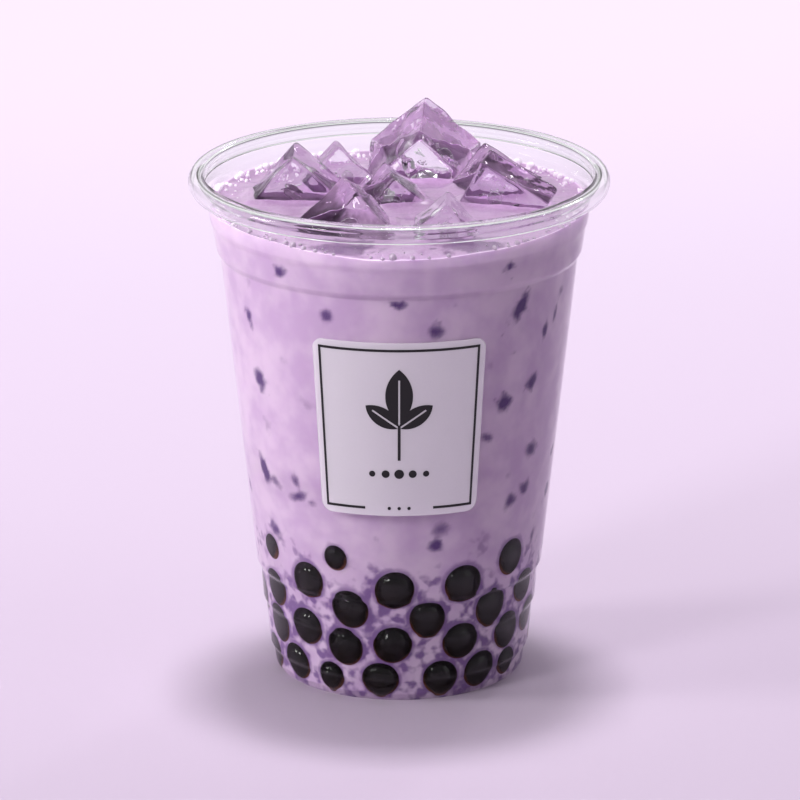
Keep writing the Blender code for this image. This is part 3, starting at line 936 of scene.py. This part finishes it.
# Label
def add_label(finish):
    """The film: a rectangle with rounded corners laid on the cone of the wall, as wide in angle at each
    height. Its UV map gives the place on it in millimetres."""
    turn = np.linspace(0.0, 0.5 * math.pi, 9)
    end_up = LABEL_HALF_HEIGHT - LABEL_CORNER + LABEL_CORNER * np.sin(turn)
    end_reach = LABEL_HALF_WIDTH - LABEL_CORNER + LABEL_CORNER * np.cos(turn)
    middle = np.linspace(-end_up[0], end_up[0], 40)[1:-1]
    up = np.concatenate([-end_up[::-1], middle, end_up])[:, None]
    reach = np.concatenate([end_reach[::-1], np.full(len(middle), LABEL_HALF_WIDTH), end_reach])[:, None]
    across = reach * np.linspace(-1.0, 1.0, 65)[None, :]
    up = up + 0.0 * across
    radius = radius_at(LABEL_MIDDLE + up, 0.0) + LABEL_GAP + LABEL_FILM
    angle = across / radius_at(LABEL_MIDDLE, 0.0)
    points = round_axis(radius, angle, LABEL_MIDDLE + up).reshape(-1, 3)
    index = np.arange(across.size).reshape(across.shape)
    quads = np.stack([index[:-1, :-1], index[:-1, 1:], index[1:, 1:], index[1:, :-1]], -1).reshape(-1, 4)
    mesh = make_mesh("label", points, quads)
    corners = np.empty(len(mesh.loops), dtype=np.int32)
    mesh.loops.foreach_get("vertex_index", corners)
    spots = np.stack([across.ravel(), up.ravel()], -1)
    mesh.uv_layers.new(name="film").data.foreach_set("uv", spots[corners].astype(np.float32).ravel())
    made = add_piece("frosted_label", mesh, finish, ["label"])
    thick = made.modifiers.new("film thickness", "SOLIDIFY")
    thick.thickness, thick.offset = LABEL_FILM * MM, -1.0
    return made


# Floor, light and camera
def add_floor():
    """A wide pale floor with painted shade: darker lilac near the camera and nearly white far behind, standing
    in for the fall of light.
    """
    mesh = bpy.data.meshes.new("floor")
    mesh.from_pydata([(-6, -4, 0), (6, -4, 0), (6, 8, 0), (-6, 8, 0)], [], [(0, 1, 2, 3)])
    finish = Finish("pale floor", Roughness=0.75)
    _, away, _ = finish.parts(finish.place())
    # Painted shade and light: the floor darkens towards the camera and whitens far behind
    near = finish.mix(finish.fade(away, -0.14, 0.25), shade(189, 172, 194), shade(208, 190, 213))
    finish.feed(Base_Color=finish.mix(finish.fade(away, 0.15, 0.75), near, shade(239, 223, 243)))
    mesh.materials.append(finish.material)
    link("floor", mesh)


def add_lights():
    """A soft key from the left, a top light, smaller lamps for sparkle, and an even pale surround."""
    for name, (place, aim, (wide, high), power, colour) in LAMPS.items():
        lamp = bpy.data.lights.new(name, "AREA")
        lamp.shape, lamp.size, lamp.size_y = "RECTANGLE", wide, high
        lamp.energy, lamp.color = power, colour
        made = link(name, lamp)
        made.location = place
        made.rotation_euler = (Vector(aim) - Vector(place)).to_track_quat("-Z", "Y").to_euler()
    world = bpy.data.worlds.new("surround")
    world.use_nodes = True
    background = world.node_tree.nodes["Background"]
    background.inputs["Color"].default_value = SURROUND_COLOUR
    background.inputs["Strength"].default_value = SURROUND_STRENGTH
    bpy.context.scene.world = world


def add_camera():
    """The photograph's view: from in front and a little above, with a long lens."""
    lens = bpy.data.cameras.new("camera")
    lens.lens, lens.sensor_width, lens.clip_start = CAMERA_LENS, CAMERA_SENSOR, 0.05
    made = link("camera", lens)
    down = math.radians(CAMERA_DOWN)
    back = Vector((0.0, -CAMERA_DISTANCE * math.cos(down), CAMERA_DISTANCE * math.sin(down)))
    made.location = Vector(CAMERA_AIM) + back
    made.rotation_euler = (0.5 * math.pi - down, 0.0, 0.0)
    bpy.context.scene.camera = made


def main():
    """Makes every piece, the floor, the lights and the camera."""
    bpy.context.scene.view_settings.view_transform = "Standard"
    add_camera()
    add_lights()
    add_floor()
    pearls = pearl_places()
    add_cup(plastic_finish())
    add_drink(pearls, milk_finish())
    add_pearls(pearls, pearl_finish())
    add_ice(ice_finish())
    add_flaws(air_finish())
    add_foam(foam_finish())
    add_label(label_finish())


main()
bpy.context.view_layer.update()
